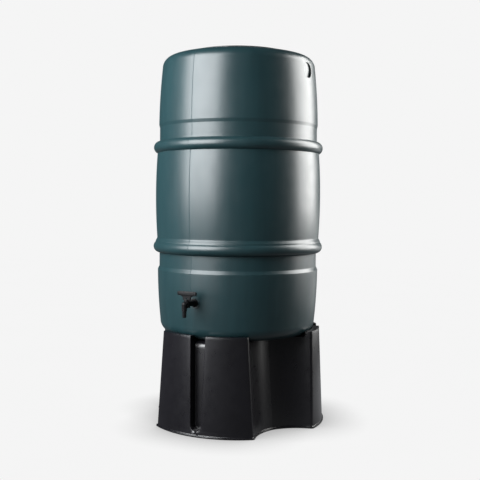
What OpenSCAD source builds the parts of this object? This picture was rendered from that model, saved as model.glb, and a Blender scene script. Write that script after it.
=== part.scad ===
// Rain barrel: a hollow moulded barrel with a lid and a plug tap, on a three-lobed stand.
// Origin on the floor at the barrel's axis, +Z up, the tap towards -Y.

/* [Barrel] */
// Height from the base to the flat top
barrel_h = 870; // [860:1:890]
// Wall thickness
barrel_t = 3.2; // [2.5:0.1:4]
// Radius where the bottom rounding ends
base_r = 246.3; // [244:0.1:249]
// Radius of the bottom rounding
base_round = 40; // [34:1:44]
// Radius of the lower section under its step
lower_r = 255.4; // [253:0.1:258]
// Radius of the two waist bands
waist_r = 250.3; // [248:0.1:251.5]
// Radius of the middle section where it meets a rib
belly_end_r = 257.6; // [256:0.1:259]
// Radius of the middle section at its middle
belly_r = 262.3; // [260:0.1:265]
// Radius of the upper section over its step
upper_r = 252.8; // [252:0.1:256]
// Radius where the shoulder rounding starts
shoulder_r = 242.4; // [240:0.1:245]
// Radius of the shoulder rounding
shoulder_round = 34; // [28:1:40]
// Height of the middle of the ribs and steps above the base
waist_mid = 428.5; // [420:0.5:440]
// Distance of each rib from that middle
rib_off = 156; // [150:0.5:165]
// Radius of a rib's half-round section
rib_round = 19; // [16:0.5:21]
// Distance of a step's narrow end from the middle
step_in = 218; // [210:0.5:222]
// Distance of a step's wide end from the middle
step_out = 228; // [225:0.5:235]
// Outer radius of the neck under the lid
neck_r = 166; // [150:1:166]
// Height of the neck over the flat top
neck_h = 8; // [6:0.5:12]

/* [Inlet pad] */
// Radius of the flat round pad that is drilled for a filling hose
pad_r = 22.5; // [15:0.5:25]
// Height of the pad's centre over the base
pad_z = 817; // [800:1:820]
// Distance of the pad's flat face from the barrel's axis
pad_face = 237.8; // [236:0.1:240]

/* [Stand] */
// Height of the deck that the barrel stands on
deck_h = 276; // [240:1:300]
// Height of the rim over the deck
rim_h = 18; // [12:1:24]
// Outer radius at the top of the rim
rim_r = 263; // [260:1:268]
// Outer radius at the floor
foot_r = 275; // [270:1:280]
// Inner radius of the rim
rim_in_r = 243; // [242:0.5:246]
// Wall thickness
stand_t = 4; // [3:0.5:5]
// Radius of the curved walls between the lobes
recess_r = 154.5; // [150:0.5:160]
// Distance of those walls' centres from the barrel's axis, at the floor
recess_far = 351; // [345:1:360]
// Sideways distance of those centres from the recess's middle
recess_side = 10; // [6:1:20]
// Lean of those walls towards the barrel's axis, in degrees
recess_lean = 5.5; // [3:0.5:7]
// Width of a lobe's groove at the top
groove_top_w = 48; // [40:1:54]
// Width of a lobe's groove at the bottom
groove_end_w = 34; // [28:1:38]
// Depth of a groove at the rim
groove_d = 28; // [20:1:30]
// Height of a groove's closed end over the floor
groove_end_z = 16; // [12:1:40]
// Angle that the barrel is turned from the middle of a lobe
stand_turn = 4; // [0:1:10]

/* [Lid] */
// Outer radius of the lid
lid_r = 171; // [170:0.5:176]
// Thickness of the lid
lid_t = 3; // [2:0.5:4]
// Radius of the sunk middle
dish_r = 150; // [120:1:155]
// Depth of the sunk middle
dish_d = 14; // [8:1:20]

/* [Tap] */
// Height of the tap's centre line over the base
tap_z = 115; // [110:1:120]
// Distance of the plug from the barrel's axis
plug_y = 292; // [291:0.5:296]
// Distance of the outlet from the plug
outlet_y = 13; // [12:0.5:15]
// Radius of the horizontal body
pipe_r = 8; // [7.5:0.1:8.5]
// Radius of the plug
plug_r = 6; // [5.6:0.1:6.2]
// Running clearance round the plug
plug_gap = 0.05; // [0.02:0.01:0.1]
// Radius of the threaded tail through the wall
tail_r = 10.2; // [9.8:0.1:10.4]
// Radius of the water way
way_r = 4.4; // [3.5:0.1:4.5]
// Radius of the hose nozzle
nozzle_r = 6.4; // [6:0.1:6.6]
// Length of the T handle's bar
bar_len = 68; // [50:1:70]

/* [Hidden] */
$fn = 96;
over = 1;                        // how far a cut runs past a face
green = "#1f3f3e";
black = "#1c1c1f";
rubber = "#0f0f10";

// barrel
push_up = 8;                     // how far the middle of the base is raised
foot_in = 150;                   // where the raised middle of the base ends
top_z = deck_h + barrel_h;
boss_r = 17;                     // flat seat for the tap, outside and inside
boss_out = 253.4;
boss_in = 247.4;
hole_gap = 0.4;
seat_gap = 0.005;                // between the deck and the barrel's base

// stand
rim_z = deck_h + rim_h;
lean = (foot_r - rim_r) / rim_z; // how far a wall moves in for each millimetre up
lobes = 3;
lip = 3.5;                       // the foot's outward lip
lip_h = 5;
rib_deep = 26;                   // webs under the deck

// tap, about the plug's axis at the height of the water way
house_r = 9.6;
house_top = 8.6;
house_end = -10.5;
step_z = -9.2;                   // the plug's bore widens for its washer
plug_end = -9.3;
washer_r = 7.3;
port_seal = 6.9;                 // distance of each ring seal from the water way
seal_r = 0.9;
spout_r = 7.8;
spout_end = -19;
nozzle_end = -38;
washer_t = 2.6;
flange_t = 3.5;
flange_r = 12.2;
hub_z = 9;
square_w = 7;
square_top = 12.8;
lock_z = 16;                     // hole for a padlock in the handle
lock_r = 2.6;
bar_z = 31;
bar_round = 6;
web_w = 26;
handle_t = 8;
screw_r = 1.6;

// ---------- outlines ----------

// points of an arc from angle a to angle b
function arc(c, r, a, b, n) = [for (i = [0:n]) let (t = a + (b - a) * i / n) [c[0] + r * cos(t), c[1] + r * sin(t)]];

// points between two ends, standing out by b at the middle
function swell(p, q, b, n) =
    [for (i = [1:n - 1]) let (s = i / n) p + (q - p) * s + [4 * b * s * (1 - s), 0]];

// a list turned upside down about the middle of the ribs
function flip(list) = [for (i = [len(list) - 1:-1:0]) [list[i][0], 2 * waist_mid - list[i][1]]];

// step, waist band and rib below the middle, at depth t under the outer skin
function band(t) =
    let (rib_z = waist_mid - rib_off, r = rib_round - t, a = acos((belly_end_r - t - waist_r) / r))
    concat([[lower_r - t, waist_mid - step_out], [waist_r - t, waist_mid - step_in]],
           [[waist_r - t, rib_z - r]], arc([waist_r, rib_z], r, -90, a, 12));

// the same above the middle, where the step is a little narrower
function upper_band(t) =
    let (b = flip(band(t))) [for (i = [0:len(b) - 1]) i == len(b) - 1 ? [upper_r - t, b[i][1]] : b[i]];

// half of the barrel's section at depth t under the outer skin
function section(t) =
    let (low = band(t), high = upper_band(t), corner = [base_r - base_round, base_round],
         shoulder = [shoulder_r - shoulder_round, barrel_h - shoulder_round],
         rise = belly_r - belly_end_r, neck_top = barrel_h + neck_h + (t > 0 ? over : 0))
    concat([[0, push_up + t], [foot_in - t, push_up + t], [foot_in + push_up, t]],
           arc(corner, base_round - t, -90, 0, 10),
           swell([base_r - t, base_round], low[0], 1.9, 6),
           low, swell(low[len(low) - 1], high[0], rise, 14), high,
           swell(high[len(high) - 1], [shoulder_r - t, shoulder[1]], 2.1, 6),
           arc(shoulder, shoulder_round - t, 0, 90, 10),
           [[neck_r - t, barrel_h - t], [neck_r - t, neck_top], [0, neck_top]]);

// ---------- barrel and lid ----------

// a cylinder along -Y from distance a to distance b
module out_y(a, b, r, fn = 96) {
    translate([0, -a, 0]) rotate([90, 0, 0]) cylinder(h = b - a, r = r, $fn = fn);
}

module barrel() {
    color(green) difference() {
        union() {
            difference() {
                translate([0, 0, deck_h]) rotate_extrude($fn = 180) polygon(section(0));
                translate([0, 0, deck_h]) rotate_extrude($fn = 180) polygon(section(barrel_t));
            }
            translate([0, 0, deck_h + tap_z]) out_y(boss_in, boss_out, boss_r);
            translate([pad_face - barrel_t, 0, deck_h + pad_z])
                rotate([0, 90, 0]) cylinder(h = barrel_t + over, r = pad_r + barrel_t);
        }
        translate([0, 0, deck_h + tap_z]) out_y(boss_in - over, boss_out + over, tail_r + hole_gap);
        translate([pad_face, 0, deck_h + pad_z]) rotate([0, 90, 0]) cylinder(h = 20, r = pad_r);
    }
}

module lid() {
    seat = neck_h;                  // the lid rests on the neck
    top = seat + lid_t;
    grip_l = 170;
    grip_w = 26;
    color(black) translate([0, 0, top_z]) {
        rotate_extrude($fn = 180)
            polygon(concat([[0, seat - dish_d], [0, top - dish_d], [dish_r - 6, top - dish_d], [dish_r, top]],
                           arc([lid_r - 3, top - 3], 3, 90, 0, 6),
                           [[lid_r, over], [lid_r - lid_t, over], [lid_r - lid_t, seat], [dish_r - 1, seat],
                            [dish_r - 6, seat - dish_d]]));
        intersection() {
            translate([-grip_l / 2, -grip_w / 2, seat - dish_d + over]) cube([grip_l, grip_w, dish_d + 1.5]);
            translate([0, 0, seat - dish_d]) cylinder(h = dish_d + 10, r = grip_l / 2);
        }
    }
}

// ---------- stand ----------

// the hollow between two lobes: two cylinders that cross in a crease and lean inwards
module recess(deep) {
    past = 20;
    translate([0, -recess_far, 0]) rotate([-recess_lean, 0, 0]) intersection() {
        translate([recess_side, 0, -past]) cylinder(h = rim_z + 2 * past, r = recess_r + deep, $fn = 180);
        translate([-recess_side, 0, -past]) cylinder(h = rim_z + 2 * past, r = recess_r + deep, $fn = 180);
    }
}

// the groove up the middle of a lobe, with a round closed end
module groove(deep) {
    tilt = atan(lean);
    end_r = groove_end_w / 2 + deep;
    top_w = groove_top_w / 2 + deep;
    translate([0, -(rim_r - groove_d - deep), rim_z]) rotate([-tilt, 0, 0]) translate([0, 0, -rim_z])
        rotate([90, 0, 0]) linear_extrude(height = 80) {
            polygon([[-end_r, groove_end_z + groove_end_w / 2], [end_r, groove_end_z + groove_end_w / 2],
                     [top_w, rim_z + 5], [-top_w, rim_z + 5]]);
            translate([0, groove_end_z + groove_end_w / 2]) circle(r = end_r);
        }
}

// the stand's outer form, moved in by deep
module stand_form(deep, below = 0) {
    top = rim_z - max(deep, 0);
    difference() {
        translate([0, 0, -below])
            cylinder(h = top + below, r1 = foot_r - deep + lean * below, r2 = foot_r - deep - lean * top, $fn = 180);
        for (i = [0:lobes - 1]) {
            rotate(360 / lobes * (i + 0.5)) recess(deep);
            rotate(360 / lobes * i) groove(deep);
        }
        translate([0, 0, deck_h - seat_gap - deep])
            cylinder(h = rim_h + deep + over, r = rim_in_r + deep, $fn = 180);
    }
}

module stand() {
    color(black) rotate(stand_turn) {
        difference() {
            union() {
                stand_form(0);
                intersection() {
                    stand_form(-lip);
                    cylinder(h = lip_h, r = foot_r + 20);
                }
            }
            stand_form(stand_t, over);
        }
        intersection() {
            stand_form(stand_t - 0.5);
            for (i = [0:lobes - 1])
                rotate(360 / lobes * i + 30) translate([-foot_r, -stand_t / 2, deck_h - stand_t - rib_deep])
                    cube([2 * foot_r, stand_t, rib_deep + 0.5]);
        }
    }
}

// ---------- tap ----------

module at_plug() {
    translate([0, -plug_y, deck_h + tap_z]) children();
}

// a cylinder along the barrel's radius, from y = a to y = b about the plug's axis
module along(a, b, r) {
    translate([0, a, 0]) rotate([-90, 0, 0]) cylinder(h = b - a, r = r);
}

module tap_body() {
    seat = plug_y - boss_out;       // the barrel's outer seat, seen from the plug
    flange = seat - washer_t;
    tail_end = plug_y - 232;
    color(black) at_plug() difference() {
        union() {
            along(-outlet_y, flange, pipe_r);
            along(flange - flange_t, flange, flange_r);
            along(flange - over, tail_end, tail_r);
            translate([0, 0, house_end]) cylinder(h = house_top - house_end, r = house_r);
            translate([0, -outlet_y, 0]) sphere(r = pipe_r);
            translate([0, -outlet_y, spout_end]) cylinder(h = -spout_end, r = spout_r);
            translate([0, -outlet_y, nozzle_end]) cylinder(h = spout_end - nozzle_end + over, r = nozzle_r);
        }
        translate([0, 0, house_end - over])
            cylinder(h = house_top - house_end + 2 * over, r = plug_r + plug_gap);
        translate([0, 0, house_end - over]) cylinder(h = step_z - house_end + over, r = washer_r + 0.2);
        along(-outlet_y, tail_end + over, way_r);
        translate([0, -outlet_y, 0]) sphere(r = way_r);
        translate([0, -outlet_y, nozzle_end - over]) cylinder(h = over - nozzle_end, r = way_r);
    }
}

// groove for a ring seal
module seal_groove(z) {
    translate([0, 0, z - seal_r - 0.05]) difference() {
        cylinder(h = 2 * seal_r + 0.1, r = plug_r + over);
        translate([0, 0, -over]) cylinder(h = 2 * seal_r + 0.1 + 2 * over, r = plug_r - 2 * seal_r - 0.05);
    }
}

module tap_plug() {
    color(black) at_plug() difference() {
        union() {
            translate([0, 0, plug_end]) cylinder(h = house_top - plug_end, r = plug_r);
            translate([-square_w / 2, -square_w / 2, house_top - over])
                cube([square_w, square_w, square_top - house_top + over]);
        }
        translate([-20, 0, 0]) rotate([0, 90, 0]) cylinder(h = 40, r = way_r);
        seal_groove(port_seal);
        seal_groove(-port_seal + 0.1);
        translate([0, 0, plug_end - over]) cylinder(h = 4.4, r = screw_r + 0.05);
    }
}

module ring_seal(z) {
    color(rubber) at_plug() translate([0, 0, z]) rotate_extrude() translate([plug_r - seal_r, 0]) circle(r = seal_r);
}

module plug_seal_upper() {
    ring_seal(port_seal);
}

module plug_seal_lower() {
    ring_seal(-port_seal + 0.1);
}

module plug_washer() {
    color(black) at_plug() translate([0, 0, plug_end - 1]) difference() {
        cylinder(h = 1, r = washer_r);
        translate([0, 0, -over]) cylinder(h = 3, r = screw_r + 0.05);
    }
}

module plug_screw() {
    color("silver") at_plug() {
        translate([0, 0, plug_end - 3]) cylinder(h = 2, r1 = 2.6, r2 = 3.8);
        translate([0, 0, plug_end - 1.1]) cylinder(h = 4.2, r = screw_r);
    }
}

module tap_handle() {
    half = bar_len / 2 - bar_round;
    color(black) at_plug() difference() {
        union() {
            translate([0, handle_t / 2, 0]) rotate([90, 0, 0]) linear_extrude(height = handle_t) {
                translate([-half, bar_z - bar_round]) square([2 * half, 2 * bar_round]);
                for (s = [-1, 1]) translate([s * half, bar_z]) circle(r = bar_round);
                polygon([[-web_w / 2, hub_z], [web_w / 2, hub_z], [web_w / 2, bar_z - 12], [half - 4, bar_z - 4],
                         [4 - half, bar_z - 4], [-web_w / 2, bar_z - 12]]);
            }
            translate([0, 0, hub_z]) cylinder(h = 5, r = 7.6);
        }
        translate([-square_w / 2 - 0.05, -square_w / 2 - 0.05, hub_z - over])
            cube([square_w + 0.1, square_w + 0.1, square_top - hub_z + over + 0.1]);
        rotate([90, 0, 0]) translate([0, lock_z, -20]) cylinder(h = 40, r = lock_r);
    }
}

module tap_washer_outer() {
    color(rubber) translate([0, 0, deck_h + tap_z]) difference() {
        out_y(boss_out, boss_out + washer_t, flange_r + 0.8);
        out_y(boss_out - over, boss_out + washer_t + over, tail_r + 0.05);
    }
}

module tap_washer_inner() {
    color(rubber) translate([0, 0, deck_h + tap_z]) difference() {
        out_y(boss_in - washer_t, boss_in, boss_r - 1.5);
        out_y(boss_in - washer_t - over, boss_in + over, tail_r + 0.05);
    }
}

module tap_back_nut() {
    nut_t = 8;
    nut_face = boss_in - washer_t;
    color(black) translate([0, 0, deck_h + tap_z]) difference() {
        out_y(nut_face - nut_t, nut_face, 17, 6);
        out_y(nut_face - nut_t - over, nut_face + over, tail_r + 0.05);
    }
}

stand();
barrel();
lid();
tap_body();
tap_plug();
tap_handle();
plug_seal_upper();
plug_seal_lower();
plug_washer();
plug_screw();
tap_washer_outer();
tap_washer_inner();
tap_back_nut();
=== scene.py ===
"""Looks for the rain barrel on its stand: a moulded green barrel, black lid, tap and three-lobed stand."""
import math

import bmesh
import bpy
from mathutils import Matrix, Vector, noise


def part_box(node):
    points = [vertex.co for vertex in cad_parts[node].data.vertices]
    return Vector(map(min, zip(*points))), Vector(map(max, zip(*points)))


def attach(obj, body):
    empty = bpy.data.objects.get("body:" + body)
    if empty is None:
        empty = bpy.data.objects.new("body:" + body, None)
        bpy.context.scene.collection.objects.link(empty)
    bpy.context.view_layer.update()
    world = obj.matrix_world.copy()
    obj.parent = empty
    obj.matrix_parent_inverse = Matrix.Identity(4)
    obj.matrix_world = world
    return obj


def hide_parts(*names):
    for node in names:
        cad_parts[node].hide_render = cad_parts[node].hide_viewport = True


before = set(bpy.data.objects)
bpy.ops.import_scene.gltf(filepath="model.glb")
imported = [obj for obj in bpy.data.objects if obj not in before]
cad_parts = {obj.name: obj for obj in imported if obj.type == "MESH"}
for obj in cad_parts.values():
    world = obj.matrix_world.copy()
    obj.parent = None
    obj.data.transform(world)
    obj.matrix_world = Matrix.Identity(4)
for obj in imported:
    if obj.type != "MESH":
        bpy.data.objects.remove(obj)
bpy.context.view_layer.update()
MM = 0.001

# ---------- places from the frame, in millimetres ----------

def box_mm(node):
    """The lowest and highest corner of a CAD node's box, in millimetres."""
    low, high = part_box(node)
    return [v / MM for v in low], [v / MM for v in high]


barrel_low, barrel_high = box_mm("barrel")
nut_low, nut_high = box_mm("tap_back_nut")
plug_low, plug_high = box_mm("tap_plug")
DECK = barrel_low[2]                     # the deck that the barrel stands on
RIM_TOP = box_mm("stand")[1][2]
LID_TOP = box_mm("lid")[1][2]
TAP_Z = (nut_low[2] + nut_high[2]) / 2   # centre line of the tap, and how far out its plug stands
PLUG_Y = -(plug_low[1] + plug_high[1]) / 2

# ---------- driving dimensions, in millimetres ----------

NECK_H = 8.0                             # the barrel; its heights start at its base
BARREL_H = barrel_high[2] - DECK - NECK_H
WALL = 3.2
WAIST_MID = 428.5                        # halfway between the two ribs
RIB_OFF = 156.0                          # from there to the middle of each rib
RIB_ROUND = 19.0
LEDGE_TURN = 48.0                        # degrees up the lower rib, where its small ledge starts
LEDGE_R = 262.4
LEDGE_H = 18.5
LEDGE_FADE = 27.0
STEP_IN = 218.0                          # the step beyond each rib, from the narrow band to the wide wall
STEP_OUT = 228.0
BASE_R = 246.3
BASE_ROUND = 40.0
LOWER_R = 255.4
LOWER_BULGE = 1.9
WAIST_R = 250.3
BELLY_END_R = 257.6
BELLY_R = 262.3
UPPER_R = 252.8
UPPER_BULGE = 2.1
SHOULDER_R = 242.4
SHOULDER_ROUND = 34.0
STEP_ROUND = 4.0                         # small roundings where stretches of the outline meet
BAND_ROUND = 5.0
RIB_TOP_ROUND = 4.0
LEDGE_IN_ROUND = 2.0
LEDGE_OUT_ROUND = 7.0
NECK_ROUND = 3.0
NECK_R = 166.0
PUSH_UP = 8.0                            # the base's raised middle
FOOT_IN = 150.0
TOP_R = SHOULDER_R - SHOULDER_ROUND      # where the shoulder's rounding meets the flat top
LONGEST = 9.0                            # no stretch of the barrel's mesh is taller than this
TURN_STEP = 1.5                          # degrees between its plain columns
CLEAR = 0.7                              # degrees that these keep from the closer columns
UNEVEN = 0.16                            # how far blow moulding leaves the skin uneven
UNEVEN_SCALE = (5.0, 5.0, 3.2)           # waves to a metre

PAD_R = 22.5                             # the sunk filling pad
PAD_Z = 817.0
PAD_FACE = 237.8
PAD_TURN = 90.0                          # degrees from the tap
PAD_REACH = 34.0                         # half the gap that its mesh fills in the skin
PAD_SKIN_R = 243.6
# rings about the pad: distance outwards from its edge, share of its depth
PAD_RAMP = ((6.5, 0), (4.0, 0), (2.1, 0), (1.2, 0.07), (0.6, 0.22), (0.2, 0.45), (0, 0.7),
            (-0.3, 0.88), (-0.9, 0.98), (-1.9, 1), (-8.5, 1))
SEAM_TURN = -2.6                         # the mould's parting line, beside the tap
SEAM_HALF = 0.45                         # degrees
SEAM_RISE = 0.42
SEAM_STEPS = (-0.9, -0.45, -0.22, -0.07, 0.07, 0.22, 0.45, 0.9)
TAP_HOLE_R = 10.6
BOSS_R = 17.2                            # the flat seat for the tap's washer
BOSS_FACE = 253.4
BOSS_REACH = 22.0
BOSS_SKIN_R = 252.8

FOOT_R = 275.0                           # the stand: a leaning wall with three grooves and three recesses
RIM_R = 263.0
RIM_IN_R = 243.0
STAND_T = 4.0
RECESS_R = 154.5                         # each side of a recess is an arc of this radius
RECESS_FAR = 351.0                       # from the axis to the arc's centre, at the foot
RECESS_SIDE = 10.0                       # and from the recess's middle to the arc's centre
RECESS_LEAN = 5.5                        # degrees
GROOVE_TOP = 24.0                        # a groove's half width at the top, and at its round lower end
GROOVE_END = 17.0
GROOVE_DEEP = 28.0
GROOVE_END_Z = 16.0
GROOVE_START = 0.27                      # its mesh starts this far above its lowest point
STAND_TURN = 4.0                         # degrees, from the tap's side to the nearest groove
CORNER_ROUND = 9.0
CREASE_ROUND = 4.0
GROOVE_IN_ROUND = 4.0
GROOVE_OUT_ROUND = 3.0
EDGE_ROUND = 3.2                         # the rim's and the deck's open edges
LEAN = (FOOT_R - RIM_R) / RIM_TOP
# heights where the stand's outline is drawn; the foot's lip also has its distance outwards
LIP = ((0, 3.2), (0.5, 3.5), (3.8, 3.5), (4.7, 3.1), (5.0, 2.2), (5.2, 0.8), (6.0, 0.1), (8, 0))
OUTER_LEVELS = (16.6, 17.2, 18, 19, 20.5, 22, 24.5, 27, 30, 33, 60, 90, 120, 150, 180, 210, 235, 252)
INNER_LEVELS = (13.5, 16, 20, 26, 33, 80, 140, 200, 245)
ABOVE_DECK = 285.0
WEB_DEEP = 26.0
WEB_REACH = 168.0                        # towards a recess
WEB_REACH_LOBE = 196.0                   # towards a lobe
RAMP_DEEP = 34.0                         # a groove's floor runs out onto the deck in a rounded ramp
RAMP_TALL = 16.0
RAMP_STEPS = (0, 0.3, 0.55, 0.75, 0.88, 0.96, 1)

LID_R = 171.0                            # the lid
LID_T = 3.0
DISH_R = 150.0
DISH_D = 14.0
DISH_STEP_IN = 32.0                      # the dish's small step, in from its edge
DISH_STEP = 1.2
GRIP_L = 170.0
GRIP_W = 26.0
GRIP_WAIST = 0.2
GRIP_POWER = 0.3                         # squareness of the grip's plan

OUTLET_Y = 13.0                          # the tap, measured from the plug's axis and the centre line
PIPE_R = 8.0
WAY_R = 4.4
BORE_R = 6.05
BORE_STEP_R = 7.5                        # the bore is wider below BORE_STEP_Z, for the plug's washer
BORE_STEP_Z = -9.2
WASHER_T = 2.6
FLANGE_T = 3.5
FLANGE_R = 12.2
TAIL_R = 10.2
TAIL_END = 60.0
HOUSE_R = 9.6
HOUSE_TOP = 8.6
HOUSE_END = -10.5
THREAD_PITCH = 2.0
THREAD_DEEP = 0.9
SPOUT_R = 7.8
SPOUT_END = -19.0
NOZZLE_R = 6.4
NOZZLE_END = -38.0
BARBS = 4
BARB_PITCH = 4.4
BARB_DEEP = 0.9
BAR_HALF = 34.0
BAR_Z = 31.0
BAR_ROUND = 6.0
BAR_POWER = 0.45                         # squareness of the bar's section
COLLAR_IN = 8.5                          # a collar's groove, in from the bar's end
COLLAR_DEEP = 0.9
HANDLE_T = 8.0
HANDLE_WEB_T = HANDLE_T * 0.68
HANDLE_WEB_HALF = 13.0
HUB_Z = 9.0
HUB_R = 7.6
HUB_H = 5.0
SOCKET_W = 7.1
SOCKET_TOP = 12.9
LOCK_Z = 16.0
LOCK_R = 2.6
SEAT = PLUG_Y - BOSS_FACE                # from the plug's axis to the barrel's seat
WIDEST = WAIST_R + RIB_ROUND - 0.06      # the skin's unevenness stops here, inside the CAD ribs
MERGE = 0.01                             # points closer than this are merged after a cut
STAND_MERGE = 0.02

# ---------- helpers ----------

def new_object(name, mesh_bm):
    """A smooth-shaded object from an edit mesh."""
    mesh = bpy.data.meshes.new(name)
    mesh_bm.to_mesh(mesh)
    mesh_bm.free()
    for face in mesh.polygons:
        face.use_smooth = True
    obj = bpy.data.objects.new(name, mesh)
    bpy.context.scene.collection.objects.link(obj)
    return obj


def apply_modifiers(obj):
    """Replaces the object's mesh with what its modifiers make of it."""
    depsgraph = bpy.context.evaluated_depsgraph_get()
    mesh = bpy.data.meshes.new_from_object(obj.evaluated_get(depsgraph))
    old = obj.data
    obj.modifiers.clear()
    obj.data = mesh
    bpy.data.meshes.remove(old)


def mark_sharp(obj, degrees):
    obj.data.set_sharp_from_angle(angle=math.radians(degrees))


def polar(radius, turn, z):
    """A point at radius from the axis, turned in degrees from the tap's side (-Y) towards +X.
    It takes millimetres and gives metres."""
    a = math.radians(turn)
    return Vector((radius * math.sin(a), -radius * math.cos(a), z)) * MM


def turned(v, a):
    """A flat vector turned by a radians."""
    return Vector((v.x * math.cos(a) - v.y * math.sin(a), v.x * math.sin(a) + v.y * math.cos(a)))


def apart(turn, centre):
    """The angle from centre to turn, in degrees from -180 to 180."""
    return (turn - centre + 180) % 360 - 180


def arc(cx, cz, r, a, b, n):
    """Points of an arc about (cx, cz), from a to b degrees."""
    out = []
    for i in range(n + 1):
        t = math.radians(a + (b - a) * i / n)
        out.append((cx + r * math.cos(t), cz + r * math.sin(t)))
    return out


def swell(p, q, b, n):
    """Points between p and q on a curve that bulges out by b at its middle."""
    out = []
    for i in range(1, n):
        s = i / n
        out.append((p[0] + (q[0] - p[0]) * s + 4 * b * s * (1 - s), p[1] + (q[1] - p[1]) * s))
    return out


def soften(points, corners, steps=5):
    """Rounds the listed corners of an open outline: corners maps a point's index to its radius."""
    out = []
    for i, p in enumerate(points):
        if i not in corners:
            out.append(p)
            continue
        c = Vector(p)
        a = Vector(points[i - 1]) - c
        b = Vector(points[i + 1]) - c
        reach = min(corners[i] / math.tan(a.angle(b) / 2), a.length * 0.48, b.length * 0.48)
        start = c + a.normalized() * reach
        end = c + b.normalized() * reach
        for k in range(steps + 1):
            t = k / steps
            q = start * (1 - t) ** 2 + c * 2 * t * (1 - t) + end * t ** 2
            out.append((q.x, q.y))
    return out


# ---------- barrel ----------

def barrel_outline():
    """Half section of the outer skin, from the middle of the base to the top of the neck.
    Only the lower rib has a ledge above it."""
    rib_low = WAIST_MID - RIB_OFF
    step = [(LOWER_R, WAIST_MID - STEP_OUT), (WAIST_R, WAIST_MID - STEP_IN)]
    meet = math.degrees(math.acos((BELLY_END_R - WAIST_R) / RIB_ROUND))
    ledge = [(LEDGE_R, rib_low + LEDGE_H), (BELLY_END_R, rib_low + LEDGE_FADE)]
    low_half = step + arc(WAIST_R, rib_low, RIB_ROUND, -90, LEDGE_TURN, 18) + ledge
    plain_half = step + arc(WAIST_R, rib_low, RIB_ROUND, -90, meet, 20)
    high_half = [(r, 2 * WAIST_MID - z) for r, z in reversed(plain_half)]
    high_half[-1] = (UPPER_R, high_half[-1][1])
    base = [(0, PUSH_UP), (FOOT_IN, PUSH_UP), (FOOT_IN + PUSH_UP, 0)]
    base += arc(BASE_R - BASE_ROUND, BASE_ROUND, BASE_ROUND, -90, 0, 14)
    lower = swell(base[-1], low_half[0], LOWER_BULGE, 16)
    belly = swell(low_half[-1], high_half[0], BELLY_R - BELLY_END_R, 40)
    shoulder_z = BARREL_H - SHOULDER_ROUND
    upper = swell(high_half[-1], (SHOULDER_R, shoulder_z), UPPER_BULGE, 18)
    top = arc(SHOULDER_R - SHOULDER_ROUND, shoulder_z, SHOULDER_ROUND, 0, 90, 14)
    top += [(NECK_R, BARREL_H), (NECK_R, BARREL_H + NECK_H)]
    points = base + lower + low_half + belly + high_half + upper + top
    corners = {}
    for i, p in enumerate(points):
        if p in (low_half[0], low_half[1], high_half[-1], high_half[-2]):
            corners[i] = STEP_ROUND
        if p in (low_half[2], high_half[-3]):
            corners[i] = BAND_ROUND
        if p == low_half[-3]:
            corners[i] = LEDGE_IN_ROUND
        if p in (low_half[-2], low_half[-1]):
            corners[i] = LEDGE_OUT_ROUND
        if p == high_half[0]:
            corners[i] = RIB_TOP_ROUND
        if p == (NECK_R, BARREL_H):
            corners[i] = NECK_ROUND
    return soften(points, corners)


def dense(points, longest):
    """The outline with no stretch longer than longest."""
    out = [points[0]]
    for p, q in zip(points, points[1:]):
        n = max(1, math.ceil(math.dist(p, q) / longest))
        for k in range(1, n + 1):
            out.append((p[0] + (q[0] - p[0]) * k / n, p[1] + (q[1] - p[1]) * k / n))
    return out


def radius_at(outline, z):
    """Outer radius of the wall at height z over the base."""
    wall = [p for p in outline if p[0] > TOP_R]
    for p, q in zip(wall, wall[1:]):
        if p[1] <= z <= q[1] and q[1] > p[1]:
            return p[0] + (q[0] - p[0]) * (z - p[1]) / (q[1] - p[1])
    return wall[-1][0]


def barrel_turns():
    """The columns' angles, closer together at the seams, the pad and the tap."""
    turns = [SEAM_TURN + s for s in SEAM_STEPS] + [SEAM_TURN + 180 + s for s in SEAM_STEPS]
    for centre, reach in ((0.0, 6.0), (PAD_TURN, 8.0)):
        turns += [centre - reach + 2 * reach * i / 12 for i in range(13)]
    close = list(turns)
    for i in range(round(360 / TURN_STEP)):
        plain = i * TURN_STEP
        if all(abs(apart(plain, t)) > CLEAR for t in close):
            turns.append(plain)
    out = []
    for t in sorted(t % 360 for t in turns):
        if not out or t - out[-1] > 0.05:
            out.append(t)
    return out


def seam_rise(turn):
    """Height of the parting line over the skin at this angle."""
    d = min(abs(apart(turn - SEAM_TURN, s)) for s in (0, 180))
    return SEAM_RISE * (1 - d / SEAM_HALF) ** 0.7 if d < SEAM_HALF else 0.0


def skin_point(r, turn, z):
    """A point of the outer skin with its seam and the faint unevenness of blow moulding."""
    here = polar(r, turn, z + DECK)
    uneven = noise.noise(Vector([k * s for k, s in zip(here, UNEVEN_SCALE)]))
    fade = min(1.0, r / 120) * (0.3 if z < 2 else 1.0)
    out = UNEVEN * uneven * fade + (seam_rise(turn) if 2 < z and r > 30 else 0.0)
    return polar(min(r + out, WIDEST), turn, z + DECK)


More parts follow.
